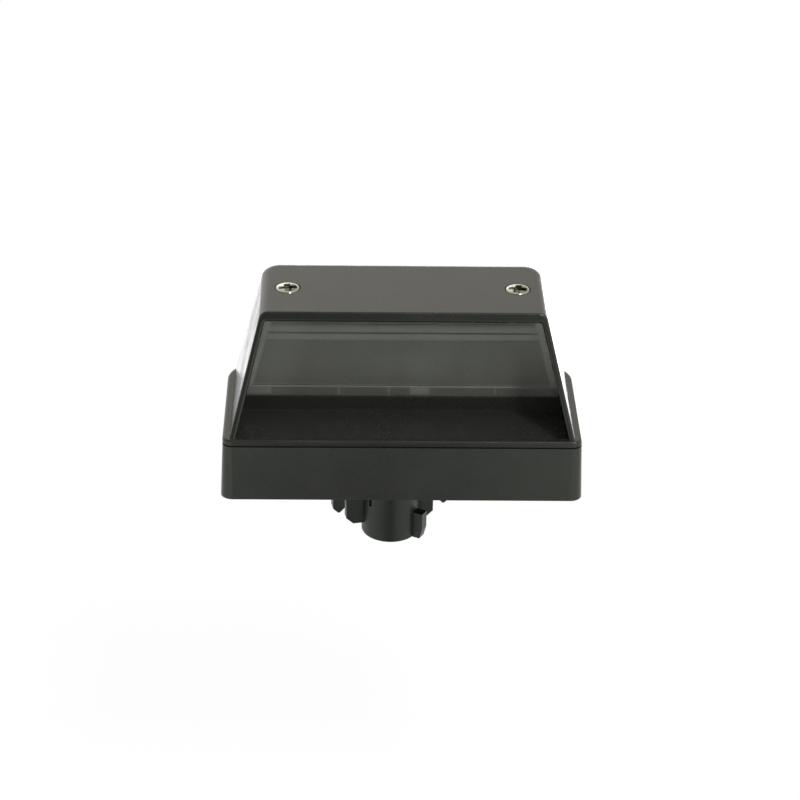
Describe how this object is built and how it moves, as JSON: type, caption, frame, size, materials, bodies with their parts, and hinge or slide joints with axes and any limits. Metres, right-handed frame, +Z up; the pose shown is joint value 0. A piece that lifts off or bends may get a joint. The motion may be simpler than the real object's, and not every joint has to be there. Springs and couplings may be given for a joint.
{
  "type": "number plate lamp",
  "caption": "Number plate lamp: black tapered hood over a skirted base, clear leaning lens in its open front, fixing screws through it and a twist-in bulb holder below.",
  "frame": {"origin": "midway between the two fixing screws, in the plane that the skirt stands on", "axes": "+X across the lamp, -Y the way the light goes, +Z up to the hood's roof, away from the bodywork"},
  "size_m": [0.1116, 0.053, 0.0885],
  "materials": {
    "hood_black": "satin black moulding",
    "base_black": "fine-grained black moulding",
    "holder_black": "black glass-filled moulding",
    "lens_clear": "clear polished moulding",
    "rubber": "dull black rubber",
    "plated_steel": "yellowish zinc plate",
    "bright_sheet": "rolled bright sheet",
    "contact_brass": "bright rolled strip",
    "bulb_clear": "clear blown glass",
    "wire": "drawn wire"
  },
  "bodies": {
    "root": {"hood_cover": "hood_black", "base_housing": "base_black", "bulb_holder": "holder_black", "lens": "lens_clear", "cover_seal": "rubber", "lens_seal": "rubber", "holder_seal": "rubber", "screw_seals": "rubber", "cover_screws": "plated_steel", "screw_retainers": "plated_steel", "spacer_sleeves": "plated_steel", "reflector_screws": "plated_steel", "reflector": "bright_sheet", "contact_live": "contact_brass", "contact_earth": "contact_brass", "bulb_glass": "bulb_clear", "bulb_leads": "wire", "filament": "wire"}
  },
  "joints": []
}
